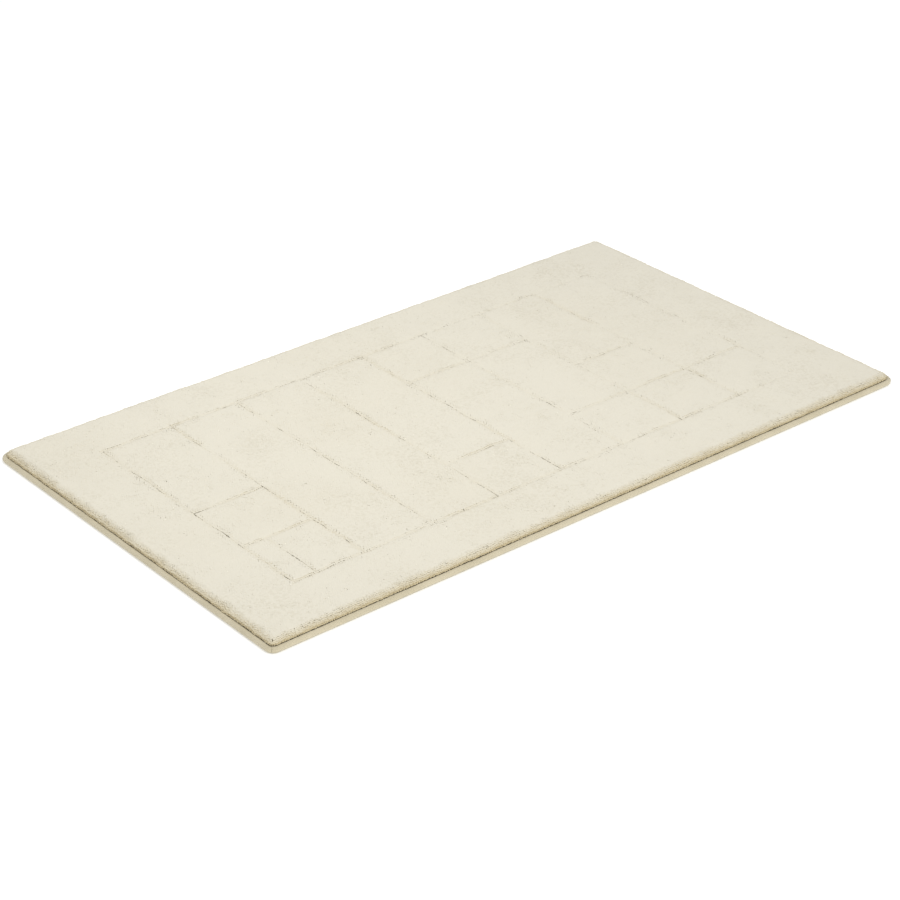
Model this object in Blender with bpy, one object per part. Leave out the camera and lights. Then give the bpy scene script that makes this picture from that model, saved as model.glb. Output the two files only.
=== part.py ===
"""A tufted bath mat with a carved pile, a woven backing, a grip coat and a corded edge binding.

Metres, +Z up. The origin is on the floor under the middle of the mat, +X runs along its length.
"""

import math

import bmesh
import bpy
from mathutils import Matrix, Vector

# Overall size, to the outside of the edge binding.
MAT_LENGTH = 1.200
MAT_WIDTH = 0.700

# From the outside of the mat to the middle of the groove that frames the carved field.
END_BORDER = 0.117
SIDE_BORDER = 0.109

# The carved field.
COLUMNS = 8
ROWS = 4
GROOVE_WIDTH = 0.0036
PILE_HEIGHT = 0.0140
BLOCK_ROUNDING = 0.0030
RIM_ROUNDING = 0.0060

# The layers under the pile, and the play between two pieces that lie on each other.
CLOTH_THICKNESS = 0.0010
BOND_THICKNESS = 0.0008
FIT_GAP = 0.0003

# The edge binding: a folded tape round a filler cord, with a flat flange that is sewn to the cloth.
TAPE_THICKNESS = 0.0012
BEAD_DIAMETER = 0.0090
FLANGE_WIDTH = 0.0080
THREAD_DIAMETER = 0.0010
THREAD_INSET = 0.0040
QUARTER_STEPS = 5

# Heights, from the floor up. The grip coat is as thick as the tape, so that both lie on the floor.
GRIP_THICKNESS = TAPE_THICKNESS
BOND_BASE = GRIP_THICKNESS + FIT_GAP
CLOTH_BASE = BOND_BASE + BOND_THICKNESS + FIT_GAP
PILE_BASE = CLOTH_BASE + CLOTH_THICKNESS + FIT_GAP
PILE_TOP = PILE_BASE + PILE_HEIGHT
FLANGE_TOP = PILE_BASE + TAPE_THICKNESS
THREAD_BASE = FLANGE_TOP + FIT_GAP
RECESS_TOP = THREAD_BASE + THREAD_DIAMETER + FIT_GAP

# Distances in from the outside of the mat.
BEAD_RADIUS = BEAD_DIAMETER / 2
CORD_RADIUS = BEAD_RADIUS - TAPE_THICKNESS - FIT_GAP
FLANGE_END = BEAD_DIAMETER + FLANGE_WIDTH
LAYER_EDGE = BEAD_RADIUS + CORD_RADIUS + FIT_GAP
PILE_EDGE = BEAD_DIAMETER + FIT_GAP
THREAD_LINE = BEAD_DIAMETER + THREAD_INSET

# The carved blocks, one list of row spans for each column from left to right. Row 0 is at the back.
COLUMN_SPANS = (
    ((0, 2), (2, 3), (3, 4)),
    ((0, 4),),
    ((0, 4),),
    ((0, 3), (3, 4)),
    ((0, 1), (1, 4)),
    ((0, 1), (1, 3), (3, 4)),
    ((0, 2), (2, 3), (3, 4)),
    ((0, 3), (3, 4)),
)
# The front cell of the first column is split across its width, this far along it.
SPLIT_CELL = (0, 3)
SPLIT_SHARE = 0.32

PILE_COLOUR = (0.80, 0.73, 0.60)
BORDER_COLOUR = (0.79, 0.71, 0.58)
TAPE_COLOUR = (0.76, 0.67, 0.50)
CORD_COLOUR = (0.78, 0.74, 0.66)
THREAD_COLOUR = (0.80, 0.74, 0.60)
CLOTH_COLOUR = (0.74, 0.68, 0.56)
BOND_COLOUR = (0.62, 0.56, 0.44)
GRIP_COLOUR = (0.70, 0.64, 0.52)


def clear_scene():
    for thing in list(bpy.data.objects):
        bpy.data.objects.remove(thing, do_unlink=True)


def add_collection(name):
    collection = bpy.data.collections.new(name)
    bpy.context.scene.collection.children.link(collection)
    return collection


def add_material(name, colour, roughness):
    material = bpy.data.materials.new(name)
    material.use_nodes = True
    shader = material.node_tree.nodes["Principled BSDF"]
    shader.inputs["Base Color"].default_value = (*colour, 1.0)
    shader.inputs["Roughness"].default_value = roughness
    shader.inputs["Metallic"].default_value = 0.0
    material.diffuse_color = (*colour, 1.0)
    return material


def add_object(name, mesh, collection, material):
    thing = bpy.data.objects.new(name, mesh)
    collection.objects.link(thing)
    mesh.materials.clear()
    mesh.materials.append(material)
    return thing


def box_mesh(name, low, high):
    """A closed box between two corners."""
    low = Vector(low)
    high = Vector(high)
    bm = bmesh.new()
    bmesh.ops.create_cube(bm, size=1.0)
    bmesh.ops.scale(bm, vec=high - low, verts=bm.verts)
    bmesh.ops.translate(bm, vec=(low + high) / 2, verts=bm.verts)
    mesh = bpy.data.meshes.new(name)
    bm.to_mesh(mesh)
    bm.free()
    return mesh


def round_top(mesh, rounding, segments):
    """Rounds the edges round a box's top face and the four upright ones."""
    bm = bmesh.new()
    bm.from_mesh(mesh)
    base = min(vert.co.z for vert in bm.verts)
    edges = [edge for edge in bm.edges if any(vert.co.z > base for vert in edge.verts)]
    bmesh.ops.bevel(
        bm,
        geom=edges,
        offset=rounding,
        segments=segments,
        profile=0.5,
        affect="EDGES",
        clamp_overlap=True,
    )
    bm.to_mesh(mesh)
    bm.free()


def arc(centre, radius, start, stop, steps):
    """Points round a circle, from one angle to another in degrees."""
    points = []
    for step in range(steps + 1):
        angle = math.radians(start + (stop - start) * step / steps)
        points.append((centre[0] + radius * math.cos(angle), centre[1] + radius * math.sin(angle)))
    return points


def angle_at_height(height, radius):
    """The angle, in degrees, at which a bead's circle is at this height above its middle."""
    return math.degrees(math.asin(max(-1.0, min(1.0, height / radius))))


def prism_mesh(name, outline, length):
    """A flat outline of (inset, height) pairs, drawn out along X on both sides of the middle."""
    curve = bpy.data.curves.new(name, "CURVE")
    curve.dimensions = "2D"
    curve.fill_mode = "BOTH"
    curve.extrude = length / 2
    spline = curve.splines.new("POLY")
    spline.points.add(len(outline) - 1)
    for point, (inset, height) in zip(spline.points, outline):
        point.co = (inset, height, 0.0, 1.0)
    spline.use_cyclic_u = True
    guide = bpy.data.objects.new(name, curve)
    bpy.context.scene.collection.objects.link(guide)
    bpy.context.view_layer.update()
    graph = bpy.context.evaluated_depsgraph_get()
    mesh = bpy.data.meshes.new_from_object(guide.evaluated_get(graph))
    bpy.data.objects.remove(guide, do_unlink=True)
    # The outline's first axis becomes +Y, its second +Z, and its length lies along X.
    turn = Matrix(((0.0, 0.0, 1.0), (1.0, 0.0, 0.0), (0.0, 1.0, 0.0))).to_4x4()
    mesh.transform(turn)
    bm = bmesh.new()
    bm.from_mesh(mesh)
    bmesh.ops.remove_doubles(bm, verts=bm.verts, dist=1e-6)
    bmesh.ops.recalc_face_normals(bm, faces=bm.faces)
    bm.to_mesh(mesh)
    bm.free()
    return mesh


def cut_away(bm, point, outward):
    """Removes what lies beyond a plane and closes the cut."""
    geometry = bm.verts[:] + bm.edges[:] + bm.faces[:]
    cut = bmesh.ops.bisect_plane(
        bm,
        geom=geometry,
        dist=1e-7,
        plane_co=point,
        plane_no=outward,
        clear_outer=True,
    )
    rim = [part for part in cut["geom_cut"] if isinstance(part, bmesh.types.BMEdge)]
    bmesh.ops.contextual_create(bm, geom=rim)


SIDES = {
    # name: (turn about Z in degrees, length of the side, distance from the middle to the outside)
    "front": (0.0, MAT_LENGTH, MAT_WIDTH / 2),
    "right": (90.0, MAT_WIDTH, MAT_LENGTH / 2),
    "back": (180.0, MAT_LENGTH, MAT_WIDTH / 2),
    "left": (270.0, MAT_WIDTH, MAT_LENGTH / 2),
}


def mitred_strip(name, side, outline, collection, material):
    """A strip along one side of the mat, cut at 45 degrees at both ends."""
    length = SIDES[side][1]
    mesh = prism_mesh(name, outline, length)
    bm = bmesh.new()
    bm.from_mesh(mesh)
    for end in (-1, 1):
        # The cut starts at the mat's corner. Half of the play is taken off each strip.
        corner = Vector((end * length / 2, 0.0, 0.0))
        outward = Vector((end, 1.0, 0.0)).normalized()
        cut_away(bm, corner - outward * FIT_GAP / 2, outward)
    bmesh.ops.recalc_face_normals(bm, faces=bm.faces)
    bm.to_mesh(mesh)
    bm.free()
    place_on_side(mesh, side)
    add_object(name, mesh, collection, material)


def binding_outline():
    """The tape's section: round the bead, with an upper and a lower flap going in under the pile."""
    middle = (BEAD_RADIUS, BEAD_RADIUS)
    hollow = BEAD_RADIUS - TAPE_THICKNESS
    shoulder = angle_at_height(FLANGE_TOP - BEAD_RADIUS, BEAD_RADIUS)
    throat = angle_at_height(PILE_BASE - BEAD_RADIUS, hollow)
    outline = arc(middle, BEAD_RADIUS, 270.0, 90.0, 2 * QUARTER_STEPS)
    outline += arc(middle, BEAD_RADIUS, 90.0, shoulder, QUARTER_STEPS)[1:]
    outline += [(FLANGE_END, FLANGE_TOP), (FLANGE_END, PILE_BASE)]
    outline += arc(middle, hollow, throat, 90.0, QUARTER_STEPS)[:-1]
    outline += arc(middle, hollow, 90.0, 270.0, 2 * QUARTER_STEPS)
    outline += [(FLANGE_END, TAPE_THICKNESS), (FLANGE_END, 0.0)]
    return outline


def round_outline(centre, radius, quarter_steps):
    return arc(centre, radius, 0.0, 360.0, 4 * quarter_steps)[:-1]


def add_binding(collection, materials):
    cord = round_outline((BEAD_RADIUS, BEAD_RADIUS), CORD_RADIUS, QUARTER_STEPS)
    thread_radius = THREAD_DIAMETER / 2
    thread = round_outline((THREAD_LINE, THREAD_BASE + thread_radius), thread_radius, 2)
    for side in SIDES:
        mitred_strip(f"edge_binding_{side}", side, binding_outline(), collection, materials["tape"])
        mitred_strip(f"filler_cord_{side}", side, cord, collection, materials["cord"])
        mitred_strip(f"seam_thread_{side}", side, thread, collection, materials["thread"])


def rim_outline():
    """The outer edge of the pile: its recess over the flange, its side and its rounded rim."""
    recess = FLANGE_END + FIT_GAP
    centre = (PILE_EDGE + RIM_ROUNDING, PILE_TOP - RIM_ROUNDING)
    outline = [(recess, PILE_BASE), (recess, RECESS_TOP), (PILE_EDGE, RECESS_TOP)]
    return outline + arc(centre, RIM_ROUNDING, 180.0, 90.0, 4)


def border_outline(border):
    """The pile border's section, from its outer edge to the groove that frames the field."""
    inner = border - GROOVE_WIDTH / 2
    centre = (inner - BLOCK_ROUNDING, PILE_TOP - BLOCK_ROUNDING)
    return rim_outline() + arc(centre, BLOCK_ROUNDING, 90.0, 0.0, 2) + [(inner, PILE_BASE)]


def pile_outline(width):
    """The section of the whole pile, from one outer edge to the other."""
    rim = rim_outline()
    return rim + [(width - inset, height) for inset, height in reversed(rim)]


def place_on_side(mesh, side):
    """Moves a strip that lies along X, with its outside at Y = 0, to its side of the mat."""
    turn, _, reach = SIDES[side]
    mesh.transform(Matrix.Translation((0.0, -reach, 0.0)))
    mesh.transform(Matrix.Rotation(math.radians(turn), 4, "Z"))


def add_pile_border(collection, cutters, material):
    # The front and back strips run from end to end, and the outer shape of the pile cuts their ends.
    across = prism_mesh("pile_ends", pile_outline(MAT_LENGTH), MAT_WIDTH)
    place_on_side(across, "left")
    ends = add_object("pile_ends", across, cutters, material)
    ends.hide_render = True
    ends.display_type = "WIRE"
    for side in ("front", "back"):
        name = f"pile_border_{side}"
        mesh = prism_mesh(name, border_outline(SIDE_BORDER), MAT_LENGTH)
        place_on_side(mesh, side)
        strip = add_object(name, mesh, collection, material)
        trim = strip.modifiers.new("end_shape", "BOOLEAN")
        trim.operation = "INTERSECT"
        trim.solver = "EXACT"
        trim.object = ends
    # The left and right strips fill the space between them.
    between = MAT_WIDTH - 2 * (SIDE_BORDER - GROOVE_WIDTH / 2 + FIT_GAP)
    for side in ("left", "right"):
        name = f"pile_border_{side}"
        mesh = prism_mesh(name, border_outline(END_BORDER), between)
        place_on_side(mesh, side)
        add_object(name, mesh, collection, material)


def add_layer(name, inset, base, thickness, collection, material):
    """A flat layer that stops at an inset from the outside of the mat."""
    half_length = MAT_LENGTH / 2 - inset
    half_width = MAT_WIDTH / 2 - inset
    low = (-half_length, -half_width, base)
    high = (half_length, half_width, base + thickness)
    add_object(name, box_mesh(name, low, high), collection, material)


def add_layers(collection, materials):
    add_layer("grip_backing", FLANGE_END + FIT_GAP, 0.0, GRIP_THICKNESS, collection, materials["grip"])
    add_layer("bond_coat", LAYER_EDGE, BOND_BASE, BOND_THICKNESS, collection, materials["bond"])
    add_layer("primary_backing", LAYER_EDGE, CLOTH_BASE, CLOTH_THICKNESS, collection, materials["cloth"])


def add_block(name, left, right, front, back, collection, material):
    """A pile block between four groove lines."""
    half_groove = GROOVE_WIDTH / 2
    low = (left + half_groove, front + half_groove, PILE_BASE)
    high = (right - half_groove, back - half_groove, PILE_TOP)
    mesh = box_mesh(name, low, high)
    round_top(mesh, BLOCK_ROUNDING, 2)
    add_object(name, mesh, collection, material)


def add_blocks(collection, material):
    field_left = -(MAT_LENGTH / 2 - END_BORDER)
    field_back = MAT_WIDTH / 2 - SIDE_BORDER
    column_pitch = -2 * field_left / COLUMNS
    row_pitch = 2 * field_back / ROWS
    for column, spans in enumerate(COLUMN_SPANS):
        left = field_left + column * column_pitch
        right = left + column_pitch
        for first, last in spans:
            name = f"pile_block_{column + 1}_{first + 1}"
            back = field_back - first * row_pitch
            front = field_back - last * row_pitch
            if (column, first) != SPLIT_CELL:
                add_block(name, left, right, front, back, collection, material)
                continue
            middle = left + SPLIT_SHARE * column_pitch
            add_block(name + "_narrow", left, middle, front, back, collection, material)
            add_block(name + "_wide", middle, right, front, back, collection, material)


def main():
    clear_scene()
    mat = add_collection("bath_mat")
    cutters = add_collection("cutters")
    materials = {
        "pile": add_material("pile", PILE_COLOUR, 0.95),
        "border": add_material("pile_border", BORDER_COLOUR, 0.95),
        "tape": add_material("binding_tape", TAPE_COLOUR, 0.80),
        "cord": add_material("filler_cord", CORD_COLOUR, 0.90),
        "thread": add_material("seam_thread", THREAD_COLOUR, 0.70),
        "cloth": add_material("backing_cloth", CLOTH_COLOUR, 0.90),
        "bond": add_material("bond_latex", BOND_COLOUR, 0.70),
        "grip": add_material("grip_latex", GRIP_COLOUR, 0.65),
    }
    add_layers(mat, materials)
    add_binding(mat, materials)
    add_pile_border(mat, cutters, materials["border"])
    add_blocks(mat, materials["pile"])


main()
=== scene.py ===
import math

import bpy
import numpy as np
from mathutils import Matrix, Vector, noise


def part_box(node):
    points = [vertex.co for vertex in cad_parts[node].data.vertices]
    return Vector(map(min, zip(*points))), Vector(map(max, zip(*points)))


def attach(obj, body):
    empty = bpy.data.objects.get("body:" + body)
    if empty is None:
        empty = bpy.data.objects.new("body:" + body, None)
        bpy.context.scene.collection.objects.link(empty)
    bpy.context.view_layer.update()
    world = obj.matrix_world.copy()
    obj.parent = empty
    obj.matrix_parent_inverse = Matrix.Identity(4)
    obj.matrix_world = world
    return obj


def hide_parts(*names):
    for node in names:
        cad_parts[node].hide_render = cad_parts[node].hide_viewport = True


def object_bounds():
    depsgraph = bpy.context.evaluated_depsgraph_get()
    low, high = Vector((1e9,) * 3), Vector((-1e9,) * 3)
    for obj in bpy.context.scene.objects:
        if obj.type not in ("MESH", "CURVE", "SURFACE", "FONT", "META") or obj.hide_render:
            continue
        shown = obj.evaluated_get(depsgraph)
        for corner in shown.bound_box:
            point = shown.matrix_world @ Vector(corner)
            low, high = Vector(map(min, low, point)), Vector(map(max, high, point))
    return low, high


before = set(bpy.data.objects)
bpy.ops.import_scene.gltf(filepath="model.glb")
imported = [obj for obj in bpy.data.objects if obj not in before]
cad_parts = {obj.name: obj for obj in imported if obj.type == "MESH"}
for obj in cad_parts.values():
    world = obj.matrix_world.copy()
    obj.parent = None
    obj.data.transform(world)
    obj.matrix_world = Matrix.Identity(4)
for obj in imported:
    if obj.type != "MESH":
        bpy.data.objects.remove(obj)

cadBox = [list(corner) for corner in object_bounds()]
halfLength = cadBox[1][0]
halfWidth = cadBox[1][1]
sides = ("front", "right", "back", "left")

# places that several pieces share, all read from the frame
clothLow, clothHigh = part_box("primary_backing")
bondLow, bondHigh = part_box("bond_coat")
gripLow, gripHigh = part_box("grip_backing")
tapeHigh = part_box("edge_binding_front")[1]
cordLow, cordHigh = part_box("filler_cord_front")
threadLow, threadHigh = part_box("seam_thread_front")
borderLow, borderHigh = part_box("pile_border_front")
pileTop = borderHigh.z
pileBase = borderLow.z
pileInset = halfWidth + borderLow.y  # insets are counted in from the mat's outside
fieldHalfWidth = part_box("pile_block_2_1")[1].y
frameHalfWidth = -borderHigh.y
frameHalfLength = -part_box("pile_border_left")[1].x
grooveWidth = frameHalfWidth - fieldHalfWidth
flangeInset = halfWidth + tapeHigh.y
seamInset = halfWidth + (threadLow.y + threadHigh.y) / 2
beadRadius = tapeHigh.z / 2
tapeThickness = gripHigh.z
# the corners were turned by hand: front left, front right, back right, back left
cornerSigns = np.array(((-1, -1), (1, -1), (1, 1), (-1, 1)))
cornerRadii = np.array((0.0140, 0.0210, 0.0170, 0.0205))
innerRadius = 0.0004
faceTolerance = 0.0001
tinyLength = 1e-9
white = (1.0, 1.0, 1.0)
print("frame read")


def addNode(tree, kind, **settings):
    node = tree.nodes.new(kind)
    for name, value in settings.items():
        setattr(node, name, value)
    return node


def newPiece(name, points, faces, material):
    mesh = bpy.data.meshes.new(name)
    mesh.from_pydata(points, [], faces)
    mesh.materials.append(material)
    mesh.polygons.foreach_set("use_smooth", [True] * len(mesh.polygons))
    mesh.update()
    piece = bpy.data.objects.new(name, mesh)
    bpy.context.scene.collection.objects.link(piece)
    return piece


def placePiece(piece, slotName, *nodes):
    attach(piece, "root")
    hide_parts(*nodes)
    return piece


def addAttribute(mesh, name, kind, values):
    key = "vector" if kind == "FLOAT_VECTOR" else "value"
    attribute = mesh.attributes.new(name, kind, "POINT")
    attribute.data.foreach_set(key, np.asarray(values, np.float32).ravel())


def roundOutline(inset, steps):
    # points round the mat, moved in from its outside, with rounded corners
    points = []
    for index, (signs, cornerRadius) in enumerate(zip(cornerSigns, cornerRadii)):
        radius = max(cornerRadius - inset, innerRadius)
        angles = np.radians(180 + 90 * index + np.linspace(0, 90, steps))
        centre = signs * (halfLength - inset - radius, halfWidth - inset - radius)
        points.append(centre + radius * np.stack([np.cos(angles), np.sin(angles)], axis=1))
    return np.concatenate(points)


cameraValues = {
    "azimuth": 38.751,
    "elevation": 28.642,
    "roll": -0.841,
    "distance": 3.7076,
    "aim": (-0.0885, -0.0908, 0.0179),
    "lens": 100.18,
}


def addCamera(values):
    # it looks over the mat's front left corner
    azimuth = math.radians(values["azimuth"])
    elevation = math.radians(values["elevation"])
    forward = Vector((
        math.sin(azimuth) * math.cos(elevation),
        math.cos(azimuth) * math.cos(elevation),
        -math.sin(elevation),
    ))
    camera = bpy.data.objects.new("camera", bpy.data.cameras.new("camera"))
    camera.data.lens = values["lens"]
    place = Matrix.Translation(Vector(values["aim"]) - forward * values["distance"])
    turn = forward.to_track_quat("-Z", "Y").to_matrix().to_4x4()
    camera.matrix_world = place @ turn @ Matrix.Rotation(math.radians(values["roll"]), 4, "Z")
    bpy.context.scene.collection.objects.link(camera)
    bpy.context.scene.camera = camera


studioValues = {
    "worldColour": white,
    "worldStrength": 0.66,
    "floorColour": (0.85, 0.85, 0.85),
    "floorRoughness": 0.9,
    "floorGlow": 0.38,
    "floorDrop": 0.0002,
    "floorSize": 60.0,
    "lampColour": (1.0, 0.98, 0.93),
    "lamps": {
        "keyLight": {"place": (-0.90, -4.95, 4.35), "size": 2.6, "power": 130.0},
        "topLight": {"place": (-0.22, 0.15, 1.15), "size": 0.8, "power": 2.9},
    },
}


def addStudio(values):
    world = bpy.data.worlds.new("studioWorld")
    world.use_nodes = True
    sky = world.node_tree.nodes["Background"]
    sky.inputs["Color"].default_value = (*values["worldColour"], 1.0)
    sky.inputs["Strength"].default_value = values["worldStrength"]
    bpy.context.scene.world = world
    bpy.context.scene.view_settings.view_transform = "Standard"
    bpy.context.scene.view_settings.look = "None"

    for name, lamp in values["lamps"].items():
        light = bpy.data.objects.new(name, bpy.data.lights.new(name, "AREA"))
        light.data.shape = "DISK"
        light.data.size = lamp["size"]
        light.data.energy = lamp["power"]
        light.data.color = values["lampColour"]
        light.location = lamp["place"]
        light.rotation_mode = "QUATERNION"
        light.rotation_quaternion = (-Vector(lamp["place"])).to_track_quat("-Z", "Y")
        bpy.context.scene.collection.objects.link(light)

    floorPaint = bpy.data.materials.new("floorPaint")
    floorPaint.use_nodes = True
    shader = floorPaint.node_tree.nodes["Principled BSDF"]
    shader.inputs["Base Color"].default_value = (*values["floorColour"], 1.0)
    shader.inputs["Roughness"].default_value = values["floorRoughness"]
    shader.inputs["Specular IOR Level"].default_value = 0.0
    shader.inputs["Emission Color"].default_value = (*white, 1.0)
    shader.inputs["Emission Strength"].default_value = values["floorGlow"]
    half = values["floorSize"] / 2
    corners = [(-half, -half, 0.0), (half, -half, 0.0), (half, half, 0.0), (-half, half, 0.0)]
    floor = newPiece("floor", corners, [(0, 1, 2, 3)], floorPaint)
    floor.location.z = -values["floorDrop"]


addCamera(cameraValues)
addStudio(studioValues)
print("camera, light and floor set")


# what all the finishes share
finishValues = {
    "sheenRoughness": 0.5,
    "bumpStrength": 0.7,
}


def newMaterial(name, values):
    material = bpy.data.materials.new(name)
    material.use_nodes = True
    shader = material.node_tree.nodes["Principled BSDF"]
    shader.inputs["Roughness"].default_value = values["roughness"]
    shader.inputs["Specular IOR Level"].default_value = values["specular"]
    shader.inputs["Sheen Weight"].default_value = values["sheen"]
    shader.inputs["Sheen Roughness"].default_value = finishValues["sheenRoughness"]
    return material, material.node_tree, shader


def objectNoise(tree, scale, detail):
    place = addNode(tree, "ShaderNodeTexCoord")
    clouds = addNode(tree, "ShaderNodeTexNoise")
    clouds.inputs["Scale"].default_value = scale
    clouds.inputs["Detail"].default_value = detail
    tree.links.new(place.outputs["Object"], clouds.inputs["Vector"])
    return clouds.outputs["Fac"]


def twoTones(tree, shader, level, values, toneRange):
    ramp = addNode(tree, "ShaderNodeValToRGB")
    dark, light = ramp.color_ramp.elements
    dark.position, light.position = toneRange
    dark.color = (*values["dark"], 1.0)
    light.color = (*values["light"], 1.0)
    tree.links.new(level, ramp.inputs["Fac"])
    tree.links.new(ramp.outputs["Color"], shader.inputs["Base Color"])
    return ramp.outputs["Color"]


def addBump(tree, shader, level, depth):
    bump = addNode(tree, "ShaderNodeBump")
    bump.inputs["Strength"].default_value = finishValues["bumpStrength"]
    bump.inputs["Distance"].default_value = depth
    tree.links.new(level, bump.inputs["Height"])
    tree.links.new(bump.outputs["Normal"], shader.inputs["Normal"])


def mathNode(tree, operation, *given):
    node = addNode(tree, "ShaderNodeMath", operation=operation)
    for index, value in enumerate(given):
        if isinstance(value, (int, float)):
            node.inputs[index].default_value = value
        else:
            tree.links.new(value, node.inputs[index])
    return node.outputs["Value"]


def paintShadeLowDown(tree, shader, colour, values):
    # painted shade: the colour takes a darker tint low down, near the floor, and is left as it is above
    parts = addNode(tree, "ShaderNodeSeparateXYZ")
    tree.links.new(addNode(tree, "ShaderNodeTexCoord").outputs["Object"], parts.inputs["Vector"])
    rise = addNode(tree, "ShaderNodeMapRange")
    rise.inputs["From Min"].default_value = values["shadeFrom"]
    rise.inputs["From Max"].default_value = values["shadeTo"]
    tree.links.new(parts.outputs["Z"], rise.inputs["Value"])
    tint = addNode(tree, "ShaderNodeMix", data_type="RGBA")
    tint.inputs["A"].default_value = (*values["shadeTint"], 1.0)
    tint.inputs["B"].default_value = (*white, 1.0)
    tree.links.new(rise.outputs["Result"], tint.inputs["Factor"])
    blend = addNode(tree, "ShaderNodeMix", data_type="RGBA", blend_type="MULTIPLY")
    blend.inputs["Factor"].default_value = 1.0
    tree.links.new(colour, blend.inputs["A"])
    tree.links.new(tint.outputs["Result"], blend.inputs["B"])
    tree.links.new(blend.outputs["Result"], shader.inputs["Base Color"])


# pile yarn: its tone changes from tuft to tuft and in soft clouds, and painted shade makes it darker and
# warmer towards its roots
yarnValues = {
    "light": (0.818, 0.780, 0.670),
    "dark": (0.732, 0.688, 0.570),
    "shadeTint": (0.77, 0.70, 0.535),
    "shadeFrom": 0.0112,
    "shadeTo": 0.0177,
    "roughness": 0.95,
    "specular": 0.1,
    "sheen": 0.25,
    "cloudSize": 9.0,
    "cloudDetail": 3.0,
    "fibreSize": 1500.0,
    "fibreDetail": 2.0,
    "fibreTone": 0.7,
    "fibreDepth": 0.0003,
    "toneRange": (0.5, 1.4),
}


def makeYarn(name, values):
    material, tree, shader = newMaterial(name, values)
    tone = addNode(tree, "ShaderNodeAttribute", attribute_name="tone")
    clouds = objectNoise(tree, values["cloudSize"], values["cloudDetail"])
    clouds = mathNode(tree, "ADD", clouds, tone.outputs["Fac"])
    fibres = objectNoise(tree, values["fibreSize"], values["fibreDetail"])
    level = mathNode(tree, "MULTIPLY_ADD", fibres, values["fibreTone"], clouds)
    colour = twoTones(tree, shader, level, values, values["toneRange"])
    # painted shade: the tufts' lower parts and the pile's side wall are darkened and warmed
    paintShadeLowDown(tree, shader, colour, values)
    addBump(tree, shader, fibres, values["fibreDepth"])
    return material


def weaveLevel(tree, coordinates, threadSize):
    # over and under of a plain weave, with coordinates in metres
    parts = addNode(tree, "ShaderNodeSeparateXYZ")
    tree.links.new(coordinates, parts.inputs["Vector"])
    across = mathNode(tree, "SINE", mathNode(tree, "MULTIPLY", parts.outputs["X"], math.pi / threadSize))
    along = mathNode(tree, "SINE", mathNode(tree, "MULTIPLY", parts.outputs["Y"], math.pi / threadSize))
    return mathNode(tree, "MULTIPLY", across, along)


# soft patches of tone in the woven cloths
wovenValues = {
    "patchSize": 30.0,
    "patchDetail": 4.0,
    "toneRange": (0.25, 0.65),
}


def makeWoven(name, values, mapName=None):
    material, tree, shader = newMaterial(name, values)
    if mapName:
        coordinates = addNode(tree, "ShaderNodeUVMap", uv_map=mapName).outputs["UV"]
    else:
        coordinates = addNode(tree, "ShaderNodeTexCoord").outputs["Object"]
    weave = weaveLevel(tree, coordinates, values["threadSize"])
    patches = objectNoise(tree, wovenValues["patchSize"], wovenValues["patchDetail"])
    level = mathNode(tree, "MULTIPLY_ADD", weave, values["weaveTone"], patches)
    colour = twoTones(tree, shader, level, values, wovenValues["toneRange"])
    # painted shade low down, for the cloths that have a shade tint
    if "shadeTint" in values:
        paintShadeLowDown(tree, shader, colour, values)
    addBump(tree, shader, weave, values["weaveDepth"])
    return material


# clouds and grain in the latex coats, the cord and the thread
coatValues = {
    "cloudDetail": 4.0,
    "grainDetail": 3.0,
    "toneRange": (0.3, 0.7),
}


def makeCoat(name, values):
    material, tree, shader = newMaterial(name, values)
    clouds = objectNoise(tree, values["cloudSize"], coatValues["cloudDetail"])
    twoTones(tree, shader, clouds, values, coatValues["toneRange"])
    grain = objectNoise(tree, values["grainSize"], coatValues["grainDetail"])
    addBump(tree, shader, grain, values["grainDepth"])
    return material


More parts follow.
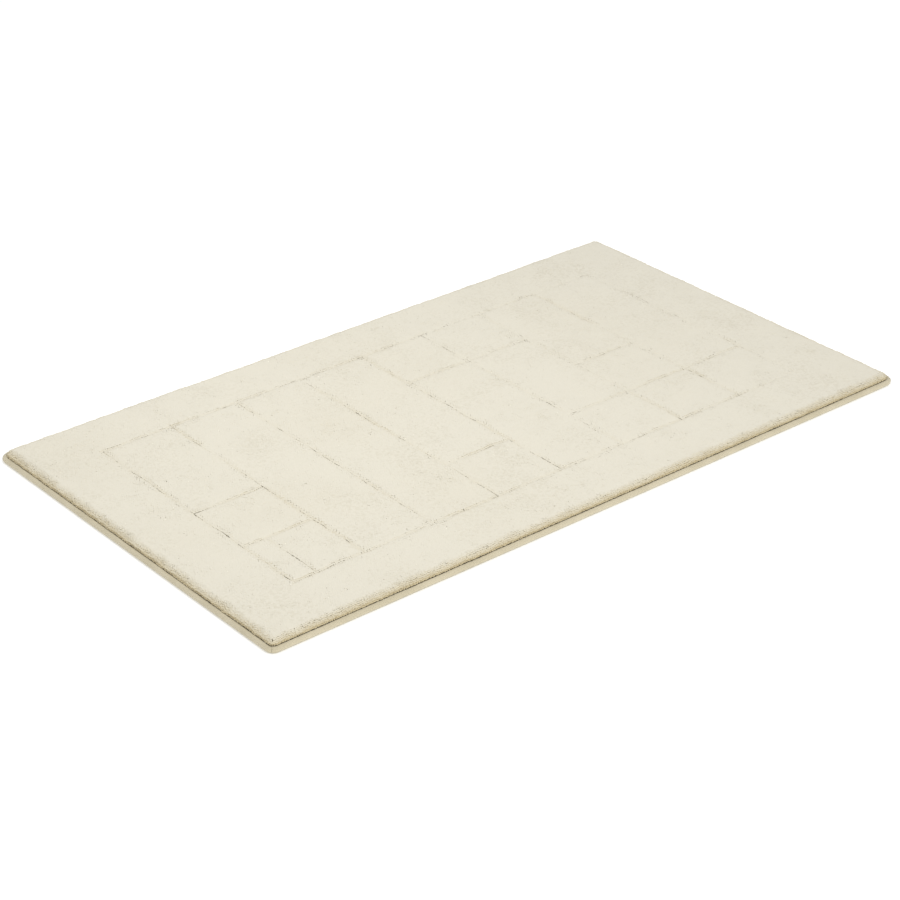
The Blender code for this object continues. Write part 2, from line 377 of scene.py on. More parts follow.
def makeFieldTree(name, hasCore):
    # plants a shape on each point of a guide: its Z follows "lean", its X follows "along"
    tree = bpy.data.node_groups.new(name, "GeometryNodeTree")
    ends = tree.interface
    ends.new_socket("Guide", in_out="INPUT", socket_type="NodeSocketGeometry")
    ends.new_socket("Shape", in_out="INPUT", socket_type="NodeSocketObject")
    ends.new_socket("Width", in_out="INPUT", socket_type="NodeSocketFloat")
    ends.new_socket("Finish", in_out="INPUT", socket_type="NodeSocketMaterial")
    if hasCore:
        ends.new_socket("Core Size", in_out="INPUT", socket_type="NodeSocketVector")
        ends.new_socket("Core Place", in_out="INPUT", socket_type="NodeSocketVector")
    ends.new_socket("Field", in_out="OUTPUT", socket_type="NodeSocketGeometry")
    given = addNode(tree, "NodeGroupInput").outputs
    made = addNode(tree, "NodeGroupOutput").inputs

    def named(attributeName, kind):
        node = addNode(tree, "GeometryNodeInputNamedAttribute", data_type=kind)
        node.inputs["Name"].default_value = attributeName
        return node.outputs["Attribute"]

    def join(start, end):
        tree.links.new(start, end)

    lean = named("lean", "FLOAT_VECTOR")
    aim = addNode(tree, "FunctionNodeAlignRotationToVector", axis="Z")
    join(lean, aim.inputs["Vector"])
    turn = addNode(tree, "FunctionNodeAlignRotationToVector", axis="X", pivot_axis="Z")
    join(aim.outputs["Rotation"], turn.inputs["Rotation"])
    join(named("along", "FLOAT_VECTOR"), turn.inputs["Vector"])
    reach = addNode(tree, "ShaderNodeVectorMath", operation="LENGTH")
    join(lean, reach.inputs[0])
    width = mathNode(tree, "MULTIPLY", given["Width"], named("plump", "FLOAT"))
    size = addNode(tree, "ShaderNodeCombineXYZ")
    join(width, size.inputs["X"])
    join(width, size.inputs["Y"])
    join(reach.outputs["Value"], size.inputs["Z"])
    shape = addNode(tree, "GeometryNodeObjectInfo")
    join(given["Shape"], shape.inputs["Object"])
    planted = addNode(tree, "GeometryNodeInstanceOnPoints")
    join(given["Guide"], planted.inputs["Points"])
    join(shape.outputs["Geometry"], planted.inputs["Instance"])
    join(turn.outputs["Rotation"], planted.inputs["Rotation"])
    join(size.outputs["Vector"], planted.inputs["Scale"])
    field = planted.outputs["Instances"]
    if hasCore:
        # the dense mass of yarn below the tips
        core = addNode(tree, "GeometryNodeMeshCube")
        join(given["Core Size"], core.inputs["Size"])
        moved = addNode(tree, "GeometryNodeTransform")
        join(core.outputs["Mesh"], moved.inputs["Geometry"])
        join(given["Core Place"], moved.inputs["Translation"])
        both = addNode(tree, "GeometryNodeJoinGeometry")
        join(moved.outputs["Geometry"], both.inputs["Geometry"])
        join(field, both.inputs["Geometry"])
        field = both.outputs["Geometry"]
    real = addNode(tree, "GeometryNodeRealizeInstances")
    join(field, real.inputs["Geometry"])
    # every planted shape has its own cell on the map
    cell = named("mapCell", "FLOAT_VECTOR")
    parts = addNode(tree, "ShaderNodeSeparateXYZ")
    join(cell, parts.inputs["Vector"])
    spot = addNode(tree, "ShaderNodeVectorMath", operation="SCALE")
    join(named("spot", "FLOAT_VECTOR"), spot.inputs[0])
    join(parts.outputs["Z"], spot.inputs["Scale"])
    put = addNode(tree, "ShaderNodeVectorMath", operation="ADD")
    join(cell, put.inputs[0])
    join(spot.outputs["Vector"], put.inputs[1])
    mapped = addNode(tree, "GeometryNodeStoreNamedAttribute", data_type="FLOAT2", domain="CORNER")
    mapped.inputs["Name"].default_value = "OFBake"
    join(real.outputs["Geometry"], mapped.inputs["Geometry"])
    join(put.outputs["Vector"], mapped.inputs["Value"])
    painted = addNode(tree, "GeometryNodeSetMaterial")
    join(mapped.outputs["Geometry"], painted.inputs["Geometry"])
    join(given["Finish"], painted.inputs["Material"])
    join(painted.outputs["Geometry"], made["Field"])
    return tree


def growField(name, tree, places, lean, along, plump, tone, inputs):
    # a guide of loose points gets the live tree, then one plain mesh is kept and the guide removed
    mesh = bpy.data.meshes.new(name)
    mesh.from_pydata(places, [], [])
    count = len(places)
    across = math.ceil(math.sqrt(count))
    order = np.arange(count)
    cells = np.stack([order % across, order // across, np.ones(count)], axis=1) / across
    addAttribute(mesh, "lean", "FLOAT_VECTOR", lean)
    addAttribute(mesh, "along", "FLOAT_VECTOR", along)
    addAttribute(mesh, "mapCell", "FLOAT_VECTOR", cells)
    addAttribute(mesh, "plump", "FLOAT", plump)
    addAttribute(mesh, "tone", "FLOAT", tone)
    guide = bpy.data.objects.new("guide", mesh)
    bpy.context.scene.collection.objects.link(guide)
    modifier = guide.modifiers.new(tree.name, "NODES")
    modifier.node_group = tree
    for item in tree.interface.items_tree:
        if item.name in inputs:
            modifier[item.identifier] = inputs[item.name]
    bpy.context.view_layer.update()
    graph = bpy.context.evaluated_depsgraph_get()
    grown = bpy.data.meshes.new_from_object(guide.evaluated_get(graph))
    for attributeName in ("lean", "along", "plump", "mapCell", "spot"):
        grown.attributes.remove(grown.attributes[attributeName])
    grown.name = name
    bpy.data.objects.remove(guide, do_unlink=True)
    piece = bpy.data.objects.new(name, grown)
    bpy.context.scene.collection.objects.link(piece)
    return piece


def ringShape(name, rings, tip, material):
    # a closed unit shape turned about Z from (height, radius, spread on the map) rings
    count = rings["sidesRound"]
    points = []
    spots = []
    for height, radius, spread in rings["rings"]:
        for step in range(count):
            angle = 2 * math.pi * step / count
            points.append((radius * math.cos(angle), radius * math.sin(angle), height))
            spots.append((0.5 + spread * math.cos(angle), 0.5 + spread * math.sin(angle), 0.0))
    faces = [tuple(reversed(range(count)))]
    last = (len(rings["rings"]) - 1) * count
    for lower in range(0, last, count):
        for step in range(count):
            after = (step + 1) % count
            faces.append((lower + step, lower + after, lower + count + after, lower + count + step))
    if tip:
        points.append((0.0, 0.0, 1.0))
        spots.append((0.5, 0.5, 0.0))
        faces += [(last + step, last + (step + 1) % count, last + count) for step in range(count)]
    else:
        faces.append(tuple(range(last, last + count)))
    shape = newPiece(name, points, faces, material)
    # the tip is shaded apart from the sides
    for edge in shape.data.edges:
        edge.use_edge_sharp = all(last <= point < last + count for point in edge.vertices)
    addAttribute(shape.data, "spot", "FLOAT_VECTOR", spots)
    return shape


# one tuft is a tapered bunch of yarn with a low domed tip, a unit high and a unit in radius
tuftValues = {
    "sidesRound": 5,
    "rings": ((0.0, 0.72, 0.48), (0.965, 1.0, 0.26)),
}

# the pile: how closely tufts stand, how they lean and how they open at a groove, in metres
# a groove's fade and opening are a level, a fall along X, a fall along Y and an unevenness
pileValues = {
    "spacing": 0.0035,
    "tuftRadius": 0.00265,
    "jitter": 0.0003,
    "tipJitter": 0.0003,
    "tipHeightChange": 0.00015,
    "plumpChange": 0.10,
    "toneChange": 0.5,
    "napLean": 0.0019,
    "napSize": 24.0,
    "napSeeds": (3.1, 7.7),
    "fineNapLean": 0.0014,
    "fineNapSize": 75.0,
    "fineNapSeeds": (4.3, 8.9),
    "waveHeight": 0.0005,
    "waveSize": 6.0,
    "waveSeed": 1.3,
    "grooveInset": 0.0015,
    "grooveReach": 0.0060,
    "grooveLean": 0.0019,
    "grooveDrop": 0.0020,
    "grooveRough": 0.0005,
    "grooveFade": (0.48, 0.42, 0.08, 0.9),
    "grooveFaintest": 0.1,
    "fadeSize": 15.0,
    "fadeSeed": 6.5,
    "grooveOpening": (0.05, 0.16, 0.08, 0.9),
    "grooveWidest": 0.6,
    "grooveShut": 1.05,
    "grooveBreaks": 45.0,
    "breakSeed": 5.5,
    "grooveShare": (1.0, 0.5),
    "flangeBase": 0.0068,
    "flangeMargin": 0.0010,
    "coreDepth": 0.0050,
    "coreInset": 0.0050,
    "seed": 11,
}

# the outermost rows are finer tufts that round the pile's edge and spill towards the binding
rimValues = {
    "spacing": 0.0024,
    "tuftRadius": 0.0018,
    "inset": 0.0013,
    "width": 0.0125,
    "reach": 0.0112,
    "fall": 0.0070,
    "lean": 0.0021,
    "rough": 0.0012,
    "shag": 0.0018,
    "shagSize": 70.0,
    "shagSeed": 9.1,
    "skirtSpacing": 0.0014,
    "skirtRadius": 0.0010,
    "skirtRows": ((0.0034, 0.0100), (0.0030, 0.0110), (0.0025, 0.0121), (0.0020, 0.0132)),
    "skirtRough": 0.0006,
    "skirtBase": 0.0072,
    "skirtClearance": 0.0017,
    "footBase": 0.0056,
    "skirtCornerSteps": 9,
    "seed": 57,
}


def smoothNoise(points, size, seed):
    return np.array([noise.noise(Vector((x * size, y * size, seed))) for x, y in points])


def hexPoints(low, high, spacing):
    # rows of points over a rectangle, every second row moved by half a step, all reaching both ends
    rowStep = spacing * math.sqrt(3) / 2
    rowCount = max(2, round((high[1] - low[1]) / rowStep) + 1)
    columnCount = max(2, round((high[0] - low[0]) / spacing) + 1)
    even = np.linspace(low[0], high[0], columnCount)
    odd = np.concatenate([even[:1], (even[1:] + even[:-1]) / 2, even[-1:]])
    points = []
    for row, y in enumerate(np.linspace(low[1], high[1], rowCount)):
        points += [(x, y) for x in (odd if row % 2 else even)]
    return np.array(points)


def rimDistance(points):
    # how far in from the pile's rounded outer edge each point is, and its way out
    half = np.array([halfLength - pileInset, halfWidth - pileInset])
    quarter = np.where(points[:, 1] < 0, (points[:, 0] > 0) * 1, 3 - (points[:, 0] > 0))
    radius = np.maximum(cornerRadii[quarter] - pileInset, innerRadius)
    over = np.abs(points) - (half - radius[:, None])
    beyond = np.maximum(over, 0.0)
    length = np.linalg.norm(beyond, axis=1)
    corner = (over > 0).all(axis=1)
    distance = np.where(corner, radius - length, radius - over.max(axis=1))
    flat = np.stack([over[:, 0] >= over[:, 1], over[:, 0] < over[:, 1]], axis=1).astype(float)
    out = np.where(corner[:, None], beyond / np.maximum(length, tinyLength)[:, None], flat)
    return distance, out * np.sign(points)


def towardGrooves(points, low, high, edges, reach):
    # the way into the nearest groove, from 0 where it is far to 1 at its edge
    toward = np.zeros_like(points)
    for axis in (0, 1):
        if edges[axis][0]:
            toward[:, axis] -= np.clip(1 - (points[:, axis] - low[axis]) / reach, 0, 1)
        if edges[axis][1]:
            toward[:, axis] += np.clip(1 - (high[axis] - points[:, axis]) / reach, 0, 1)
    return toward


def fallAway(points, falls, size, seed):
    # a level that falls off to the right and the back, and is uneven
    level, fallX, fallY, uneven = falls
    even = level - fallX * points[:, 0] / halfLength - fallY * points[:, 1] / halfWidth
    return even + uneven * smoothNoise(points, size, seed)


def pileSurface(points):
    # the height of the cut pile and the way its nap lies at each point
    values = pileValues
    nap = [smoothNoise(points, values["napSize"], seed) for seed in values["napSeeds"]]
    fine = [smoothNoise(points, values["fineNapSize"], seed) for seed in values["fineNapSeeds"]]
    lean = values["napLean"] * np.stack(nap, axis=1) + values["fineNapLean"] * np.stack(fine, axis=1)
    top = pileTop + smoothNoise(points, values["waveSize"], values["waveSeed"]) * values["waveHeight"]
    return top, lean


def growTufts(name, planting, points, base, tip, top, radius, random, core=None):
    tree, shape, yarn = planting
    count = len(points)
    spin = random.uniform(0, 2 * math.pi, count)
    inputs = {"Shape": shape, "Width": radius, "Finish": yarn}
    if core is not None:
        inputs["Core Size"] = tuple(map(float, core[1] - core[0]))
        inputs["Core Place"] = tuple(map(float, (core[0] + core[1]) / 2))
    return growField(
        name,
        tree,
        np.column_stack([points, base]),
        np.column_stack([tip, top - base]),
        np.column_stack([np.cos(spin), np.sin(spin), np.zeros(count)]),
        1 + pileValues["plumpChange"] * random.uniform(-1, 1, count),
        pileValues["toneChange"] * random.uniform(0, 1, count),
        inputs,
    )


def plantTufts(node, edges, planting, seed):
    # edges says which sides of the CAD solid face a groove, for X and for Y
    values = pileValues
    random = np.random.default_rng(values["seed"] + seed)
    low, high = (np.array(corner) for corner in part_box(node))
    half = np.array([halfLength, halfWidth]) - pileInset - faceTolerance
    onRim = ((low[0] < -half[0], high[0] > half[0]), (low[1] < -half[1], high[1] > half[1]))
    insets = np.full((2, 2), values["spacing"] / 4)
    for axis in (0, 1):
        for end in (0, 1):
            if onRim[axis][end]:
                insets[axis][end] = rimValues["width"] + values["spacing"] / 4
            elif edges[axis][end]:
                insets[axis][end] = values["grooveInset"]
    points = hexPoints(low[:2] + insets[:, 0], high[:2] - insets[:, 1], values["spacing"])
    toward = towardGrooves(points, low, high, edges, values["grooveReach"])
    if np.any(onRim):
        # a border strip runs past the carved field, where it has no groove
        beside = np.abs(points) < np.array([frameHalfLength, frameHalfWidth]) + grooveWidth
        toward *= beside[:, ::-1]
    count = len(points)
    points = points + random.uniform(-1, 1, points.shape) * values["jitter"]

    # the grooves open most near the front left corner, close here and there, and fade to the right
    openness = fallAway(points, values["grooveOpening"], values["grooveBreaks"], values["breakSeed"])
    openness = np.clip(openness, 0, values["grooveWidest"])
    shut = values["grooveShut"] - openness[:, None] * values["grooveShare"]
    top, tip = pileSurface(points)
    tip += random.uniform(-1, 1, points.shape) * values["tipJitter"]
    tip += toward * shut * values["grooveLean"]
    top += random.uniform(-1, 1, count) * values["tipHeightChange"]
    depth = fallAway(points, values["grooveFade"], values["fadeSize"], values["fadeSeed"])
    slope = np.abs(toward).max(axis=1) ** 2 * np.clip(depth, values["grooveFaintest"], 1)
    top -= slope * (values["grooveDrop"] + values["grooveRough"] * random.uniform(-1, 1, count))
    rim = rimDistance(points)[0]
    overFlange = rim < flangeInset - pileInset + values["flangeMargin"]
    base = np.where(overFlange, values["flangeBase"], pileBase)
    coreInsets = np.maximum(2 * insets, np.array(onRim) * values["coreInset"])
    core = (
        np.append(low[:2] + coreInsets[:, 0], values["flangeBase"]),
        np.append(high[:2] - coreInsets[:, 1], pileTop - values["coreDepth"]),
    )
    name = "tufts_" + node.removeprefix("pile_")
    return growTufts(name, planting, points, base, tip, top, values["tuftRadius"], random, core)


def plantRim(node, planting, seed):
    values = rimValues
    random = np.random.default_rng(values["seed"] + seed)
    low, high = (np.array(corner)[:2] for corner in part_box(node))
    margin = values["spacing"] / 4
    points = hexPoints(low + margin, high - margin, values["spacing"])
    rim, out = rimDistance(points)
    kept = (rim > values["inset"] - values["spacing"] / 2) & (rim < values["width"])
    points, rim, out = points[kept], rim[kept], out[kept]
    # the first row is moved to stand in line along the edge
    shift = np.maximum(values["inset"] - rim, 0)
    points = points - out * shift[:, None]
    rim = rim + shift
    count = len(points)
    points = points + random.uniform(-1, 1, points.shape) * pileValues["jitter"]
    near = np.clip(1 - rim / values["reach"], 0, 1)
    shag = smoothNoise(points, values["shagSize"], values["shagSeed"]) * near
    top, tip = pileSurface(points)
    top -= values["fall"] * (1 - np.sqrt(1 - near ** 2)) + shag * values["shag"]
    top -= near * values["rough"] * random.uniform(0, 1, count)
    tip += random.uniform(-1, 1, points.shape) * pileValues["tipJitter"]
    tip += out * (near ** 2 * values["lean"] + shag * values["shag"])[:, None]
    base = np.full(count, pileValues["flangeBase"])
    base[rim < values["inset"] + values["spacing"] / 2] = values["footBase"]
    name = "rim_" + node.removeprefix("pile_border_")
    rows = growTufts(name, planting, points, base, tip, top, values["tuftRadius"], random)
    return [rows, plantSkirt(node, low, high, planting, random)]


def plantSkirt(node, low, high, planting, random):
    # fine yarn ends that spill out of the pile's foot, over the binding
    values = rimValues
    outline = roundOutline(pileInset + values["inset"], values["skirtCornerSteps"])
    outline = np.concatenate([outline, outline[:1]])
    run = np.concatenate([[0.0], np.cumsum(np.linalg.norm(np.diff(outline, axis=0), axis=1))])
    even = np.arange(0, run[-1], values["skirtSpacing"])
    points = np.stack([np.interp(even, run, outline[:, axis]) for axis in (0, 1)], axis=1)
    points = points[(points > low).all(axis=1) & (points < high).all(axis=1)]
    lean, top = np.repeat(values["skirtRows"], len(points), axis=0).T
    points = np.tile(points, (len(values["skirtRows"]), 1))
    count = len(points)
    points = points + random.uniform(-1, 1, points.shape) * pileValues["jitter"]
    out = rimDistance(points)[1]
    shag = smoothNoise(points, values["shagSize"], values["shagSeed"])
    rough = random.uniform(-1, 1, (2, count)) * values["skirtRough"]
    spill = lean + shag * values["shag"] / 2 + rough[0]
    tip = out * spill[:, None]
    tip += random.uniform(-1, 1, points.shape) * pileValues["tipJitter"]
    # the ends stay clear of the bead's round top
    beyond = pileInset + values["inset"] - spill - beadRadius
    clear = (beadRadius + values["skirtClearance"]) ** 2 - beyond ** 2
    top = np.maximum(top + rough[1], beadRadius + np.sqrt(np.maximum(clear, 0)))
    base = np.full(count, values["skirtBase"])
    name = "skirt_" + node.removeprefix("pile_border_")
    return growTufts(name, planting, points, base, tip, top, values["skirtRadius"], random)


def plantPile():
    yarn = makeYarn("pileYarn", yarnValues)
    shape = ringShape("tuftShape", tuftValues, True, yarn)
    blockPlanting = (makeFieldTree("tuftBlock", True), shape, yarn)
    rimPlanting = (makeFieldTree("tuftRim", False), shape, yarn)
    closed = (False, False)
    borders = {
        "pile_border_front": (closed, (False, True)),
        "pile_border_right": ((True, False), closed),
        "pile_border_back": (closed, (True, False)),
        "pile_border_left": ((False, True), closed),
    }
    planted = []
    for seed, node in enumerate(sorted(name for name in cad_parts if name.startswith("pile_"))):
        edges = borders.get(node, ((True, True), (True, True)))
        slotName = "pile_border" if node in borders else "pile"
        planted.append(placePiece(plantTufts(node, edges, blockPlanting, seed), slotName, node))
        if node in borders:
            planted += [placePiece(rows, slotName, node) for rows in plantRim(node, rimPlanting, seed)]
    bpy.data.objects.remove(shape, do_unlink=True)
    print("pile planted,", sum(len(piece.data.polygons) for piece in planted), "faces")
    return planted


tufts = plantPile()


# the edge runs round the mat in four strips, each from the middle of one corner to the next
edgeValues = {
    "cornerSteps": 7,
    "sideStep": 0.0050,
}


def edgeStations(side, values):
    # how far along the side, and which way is out, at each station of a strip
    length = 2 * (halfLength if side % 2 == 0 else halfWidth)
    middle = np.linspace(0, 1, round(length / values["sideStep"]))
    turn = np.linspace(0, 45, values["cornerSteps"])
    share = np.concatenate([np.zeros(len(turn) - 1), middle, np.ones(len(turn) - 1)])
    angle = 225 + 90 * side + np.concatenate([turn[:-1], np.full(len(middle), 45.0), 45 + turn[1:]])
    out = np.stack([np.cos(np.radians(angle)), np.sin(np.radians(angle))], axis=1)
    return share, out, share * length


def sweepEdge(name, side, insets, heights, material):
    # insets and heights are (stations, points of the section)
    share, out = edgeStations(side, edgeValues)[:2]
    after = (side + 1) % 4
    turn = cornerRadii[side] * (1 - share) + cornerRadii[after] * share
    radius = np.maximum(turn[:, None] - insets, innerRadius)
    corner = cornerSigns[side] * (1 - share[:, None]) + cornerSigns[after] * share[:, None]
    points = []
    for axis, half in enumerate((halfLength, halfWidth)):
        points.append(corner[:, axis, None] * (half - insets - radius) + radius * out[:, axis, None])
    points = np.stack([*points, heights], axis=2)
    stations, size = insets.shape
    faces = [tuple(range(size)), tuple(reversed(range((stations - 1) * size, stations * size)))]
    around = np.concatenate([np.zeros((stations, 1)), np.cumsum(
        np.hypot(np.diff(insets, append=insets[:, :1]), np.diff(heights, append=heights[:, :1])), axis=1,
    )], axis=1)
    distance = np.cumsum(np.linalg.norm(np.diff(points[:, 0], axis=0, prepend=points[:1, 0]), axis=1))
    mapped = [(0.0, 0.0)] * (2 * size)
    for station in range(stations - 1):
        for index in range(size):
            after = (index + 1) % size
            here = station * size
            there = here + size
            faces.append((here + index, there + index, there + after, here + after))
            near, far = distance[station], distance[station + 1]
            low, high = around[station, index], around[station, index + 1]
            mapped += [(near, low), (far, low), (far, high), (near, high)]
    piece = newPiece(name, points.reshape(-1, 3).tolist(), faces, material)
    layer = piece.data.uv_layers.new(name="edgeMap")
    layer.uv.foreach_set("vector", np.array(mapped, np.float32).ravel())
    return piece


# woven tape folded over the cord, lapped at each corner and a little puckered by the seam
tapeValues = {
    "light": (0.660, 0.595, 0.440),
    "dark": (0.580, 0.520, 0.370),
    # painted shade: the bead darkens towards its underside on the floor
    "shadeTint": (0.72, 0.73, 0.74),
    "shadeFrom": 0.0010,
    "shadeTo": 0.0040,
    "roughness": 0.75,
    "specular": 0.25,
    "sheen": 0.25,
    "threadSize": 0.00055,
    "weaveTone": 0.18,
    "weaveDepth": 0.00012,
    "arcSteps": 22,
    "pucker": 0.00018,
    "puckerPitch": 0.0115,
    "wander": 0.0004,
    "wanderSize": 25.0,
    "wanderApart": 0.36,
    "wanderSeed": 2.0,
    "gatherWander": 3.0,
    "lapHeight": 0.0003,
    "lapLength": 0.016,
    "lapPower": 0.6,
    "channelDepth": 0.00045,
    "channelWidth": 0.0024,
    "channelFlare": 1.5,
    "flangeSteps": 4,
}


def arcPoints(centre, radius, start, stop, count):
    angles = np.radians(np.linspace(start, stop, count))
    return [(centre + radius * math.cos(angle), centre + radius * math.sin(angle)) for angle in angles]


def tapeSection(values):
    # (inset, height) round the tape: bead, upper flange, inside of the fold, lower flap
    hollow = beadRadius - tapeThickness
    flangeTop = pileBase + tapeThickness
    shoulder = math.degrees(math.asin((flangeTop - beadRadius) / beadRadius))
    throat = math.degrees(math.asin((pileBase - beadRadius) / hollow))
    half = values["channelWidth"] / 2
    bead = arcPoints(beadRadius, beadRadius, 270, shoulder, values["arcSteps"])
    fold = arcPoints(beadRadius, hollow, throat, 270, values["arcSteps"] // 2)
    flangeInsets = np.linspace(bead[-1][0], flangeInset, values["flangeSteps"])[1:]
    flange = [(inset, flangeTop) for inset in flangeInsets]
    under = [(flangeInset, pileBase)]
    flap = [(flangeInset, tapeThickness), (flangeInset, 0.0)]
    # the stitches lie in a shallow channel under the flap
    mouth = values["channelFlare"] * half
    channel = [
        (seamInset + mouth, 0.0),
        (seamInset + half, values["channelDepth"]),
        (seamInset - half, values["channelDepth"]),
        (seamInset - mouth, 0.0),
    ]
    return np.array(bead + flange + under + fold + flap + channel), len(bead)


def makeTape(values):
    woven = makeWoven("tapeWeave", values, "edgeMap")
    section, beadCount = tapeSection(values)
    away = (section[:beadCount] - beadRadius) / beadRadius
    # the bead keeps its shape where it lies on the floor
    free = np.clip(section[:beadCount, 1] / beadRadius, 0, 1)
    for side, sideName in enumerate(sides):
        run = edgeStations(side, edgeValues)[2]
        count = len(run)
        steps = np.arange(count) * edgeValues["sideStep"]
        line = np.stack([steps, np.full(count, side * values["wanderApart"])], axis=1)
        wander = smoothNoise(line, values["wanderSize"], values["wanderSeed"])
        gather = np.sin(steps * 2 * math.pi / values["puckerPitch"] + values["gatherWander"] * wander)
        lap = values["lapHeight"] * np.clip(1 - steps / values["lapLength"], 0, 1) ** values["lapPower"]
        swell = lap + wander * values["wander"] + gather * values["pucker"]
        insets = np.tile(section[:, 0], (count, 1))
        heights = np.tile(section[:, 1], (count, 1))
        insets[:, :beadCount] += swell[:, None] * away[:, 0] * free
        heights[:, :beadCount] += swell[:, None] * away[:, 1] * free
        strip = sweepEdge("tape_" + sideName, side, insets, heights, woven)
        placePiece(strip, "binding_tape", "edge_binding_" + sideName)


makeTape(tapeValues)

# three-ply filler cord inside the bead
cordValues = {
    "light": (0.80, 0.74, 0.60),
    "dark": (0.62, 0.55, 0.41),
    "roughness": 0.9,
    "specular": 0.1,
    "sheen": 0.2,
    "plies": 3,
    "plyDepth": 0.11,
    "layLength": 0.030,
    "sidesRound": 18,
    "cloudSize": 40.0,
    "grainSize": 900.0,
    "grainDepth": 0.0003,
}


def makeCords(values):
    fibre = makeCoat("cordFibre", values)
    radius = (cordHigh.z - cordLow.z) / 2
    height = (cordHigh.z + cordLow.z) / 2
    inset = halfWidth + (cordHigh.y + cordLow.y) / 2
    around = np.linspace(360, 0, values["sidesRound"], endpoint=False)
    for side, sideName in enumerate(sides):
        run = np.arange(len(edgeStations(side, edgeValues)[2])) * edgeValues["sideStep"]
        angle = np.radians(np.tile(around, (len(run), 1)))
        ply = np.cos(values["plies"] * (angle - 2 * math.pi * run[:, None] / values["layLength"]))
        reach = radius * (1 - values["plyDepth"] + values["plyDepth"] * ply)
        insets = inset + reach * np.cos(angle)
        heights = height + reach * np.sin(angle)
        cord = sweepEdge("cord_" + sideName, side, insets, heights, fibre)
        placePiece(cord, "filler_cord", "filler_cord_" + sideName)
    print("filler cords made")


makeCords(cordValues)

# lockstitches along the tape, on its flange and under its flap
stitchValues = {
    "light": (0.92, 0.88, 0.76),
    "dark": (0.80, 0.74, 0.60),
    "roughness": 0.6,
    "specular": 0.3,
    "sheen": 0.2,
    "pitch": 0.0040,
    "length": 0.0034,
    "thickness": 0.00085,
    "flat": 0.45,
    "sidesRound": 5,
    "sections": ((-0.5, -0.5), (-0.4, 0.6), (0.0, 1.0), (0.4, 0.6), (0.5, -0.5)),
    "mapReach": 0.9,
    "mapEdge": 0.1,
    "cloudSize": 60.0,
    "grainSize": 2500.0,
    "grainDepth": 0.0001,
}


def makeStitchShape(values, thread):
    # a short closed run of thread, half a unit long each way, through (along, rise) sections
    count = values["sidesRound"]
    radius = values["thickness"] / values["length"] / 2
    points = []
    spots = []
    edge = values["mapEdge"]
    for along, rise in values["sections"]:
        for step in range(count):
            angle = 2 * math.pi * step / count
            points.append((along, radius * math.cos(angle), radius * (rise + math.sin(angle))))
            spots.append((0.5 + values["mapReach"] * along, edge + (1 - 2 * edge) * step / count, 0.0))
    last = (len(values["sections"]) - 1) * count
    faces = [tuple(range(count)), tuple(reversed(range(last, last + count)))]
    for lower in range(0, last, count):
        for step in range(count):
            after = (step + 1) % count
            faces.append((lower + after, lower + step, lower + count + step, lower + count + after))
    shape = newPiece("stitchShape", points, faces, thread)
    addAttribute(shape.data, "spot", "FLOAT_VECTOR", spots)
    return shape


def sidePlace(side, along, inset, height):
    # a place given by how far it is along a side, and in from it
    angle = math.radians(270 + 90 * side)
    out = np.array([round(math.cos(angle)), round(math.sin(angle))])
    reach = halfWidth if side % 2 == 0 else halfLength
    return [*(out * (reach - inset) + np.array([-out[1], out[0]]) * along), height]


def makeStitches(values):
    thread = makeCoat("seamThread", values)
    shape = makeStitchShape(values, thread)
    tree = makeFieldTree("stitchRow", False)
    flangeTop = pileBase + tapeThickness
    channelTop = tapeValues["channelDepth"]
    for side, sideName in enumerate(sides):
        reach = (halfLength if side % 2 == 0 else halfWidth) - seamInset
        count = round(2 * reach / values["pitch"])
        spread = (np.arange(count) + 0.5) / count * 2 * reach - reach
        above = [sidePlace(side, along, seamInset, flangeTop) for along in spread]
        below = [sidePlace(side, along, seamInset, channelTop) for along in spread]
        rises = [values["length"]] * count + [-values["length"] * values["flat"]] * count
        direction = (1.0, 0.0, 0.0) if side % 2 == 0 else (0.0, 1.0, 0.0)
        row = growField(
            "stitches_" + sideName,
            tree,
            np.array(above + below),
            [(0.0, 0.0, rise) for rise in rises],
            [direction] * (2 * count),
            np.ones(2 * count),
            np.zeros(2 * count),
            {"Shape": shape, "Width": values["length"], "Finish": thread},
        )
        placePiece(row, "seam_thread", "seam_thread_" + sideName)
    bpy.data.objects.remove(shape, do_unlink=True)
    print("stitches made")


makeStitches(stitchValues)


# the flat layers under the pile, from the cloth that the tufts are planted in to the grip
layerCornerSteps = 8


def makeLayer(name, low, high, material):
    # a slab with rounded corners
    outline = roundOutline(halfLength - high.x, layerCornerSteps).tolist()
    count = len(outline)
    points = [(x, y, low.z) for x, y in outline] + [(x, y, high.z) for x, y in outline]
    faces = [tuple(reversed(range(count))), tuple(range(count, 2 * count))]
    faces += [(i, (i + 1) % count, (i + 1) % count + count, i + count) for i in range(count)]
    layer = newPiece(name, points, faces, material)
    layer.data.polygons.foreach_set("use_smooth", [False] * len(faces))
    return layer


clothValues = {
    "light": (0.80, 0.76, 0.66),
    "dark": (0.62, 0.57, 0.46),
    "roughness": 0.8,
    "specular": 0.2,
    "sheen": 0.1,
    "threadSize": 0.0012,
    "weaveTone": 0.2,
    "weaveDepth": 0.0003,
}

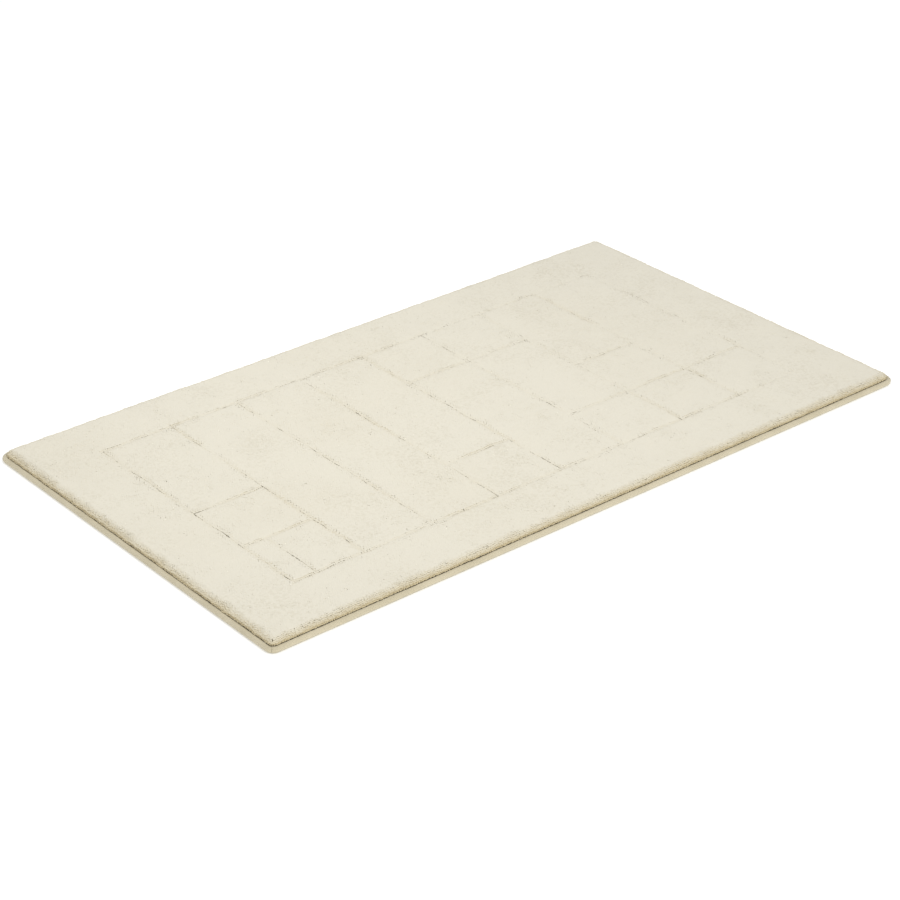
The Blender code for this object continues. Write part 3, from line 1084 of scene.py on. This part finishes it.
bondValues = {
    "light": (0.86, 0.83, 0.75),
    "dark": (0.80, 0.76, 0.67),
    "roughness": 0.55,
    "specular": 0.4,
    "sheen": 0.0,
    "cloudSize": 14.0,
    "grainSize": 500.0,
    "grainDepth": 0.0003,
}

# grip latex: a thin skin with rows of low round dots that touch the floor
gripValues = {
    "light": (0.80, 0.77, 0.68),
    "dark": (0.74, 0.70, 0.60),
    "roughness": 0.5,
    "specular": 0.45,
    "sheen": 0.0,
    "cloudSize": 11.0,
    "grainSize": 420.0,
    "grainDepth": 0.00025,
    "dotPitch": 0.0150,
    "dotRadius": 0.0030,
    "dotHeight": 0.0005,
    "dotMargin": 0.0080,
    "dotSides": 8,
    "dotRings": ((-0.2, 1.0, 0.46), (0.6, 0.92, 0.38), (1.0, 0.6, 0.25)),
}


def makeLayers():
    cloth = makeLayer("backingCloth", clothLow, clothHigh, makeWoven("clothWeave", clothValues))
    placePiece(cloth, "backing_cloth", "primary_backing")
    bond = makeLayer("bondLatex", bondLow, bondHigh, makeCoat("bondLatex", bondValues))
    placePiece(bond, "bond_latex", "bond_coat")

    latex = makeCoat("gripLatex", gripValues)
    skinLow = gripLow + Vector((0.0, 0.0, gripValues["dotHeight"]))
    skin = makeLayer("gripSkin", skinLow, gripHigh, latex)
    placePiece(skin, "grip_latex", "grip_backing")
    dotShape = {"sidesRound": gripValues["dotSides"], "rings": gripValues["dotRings"]}
    shape = ringShape("dotShape", dotShape, False, latex)
    margin = gripValues["dotMargin"]
    corners = ((gripLow.x + margin, gripLow.y + margin), (gripHigh.x - margin, gripHigh.y - margin))
    spots = hexPoints(*corners, gripValues["dotPitch"])
    count = len(spots)
    dots = growField(
        "gripDots",
        makeFieldTree("gripDots", False),
        np.column_stack([spots, np.full(count, gripValues["dotHeight"])]),
        [(0.0, 0.0, -gripValues["dotHeight"])] * count,
        [(1.0, 0.0, 0.0)] * count,
        np.ones(count),
        np.zeros(count),
        {"Shape": shape, "Width": gripValues["dotRadius"], "Finish": latex},
    )
    placePiece(dots, "grip_latex", "grip_backing")
    bpy.data.objects.remove(shape, do_unlink=True)
    print("layers made")
    return cloth


cloth = makeLayers()
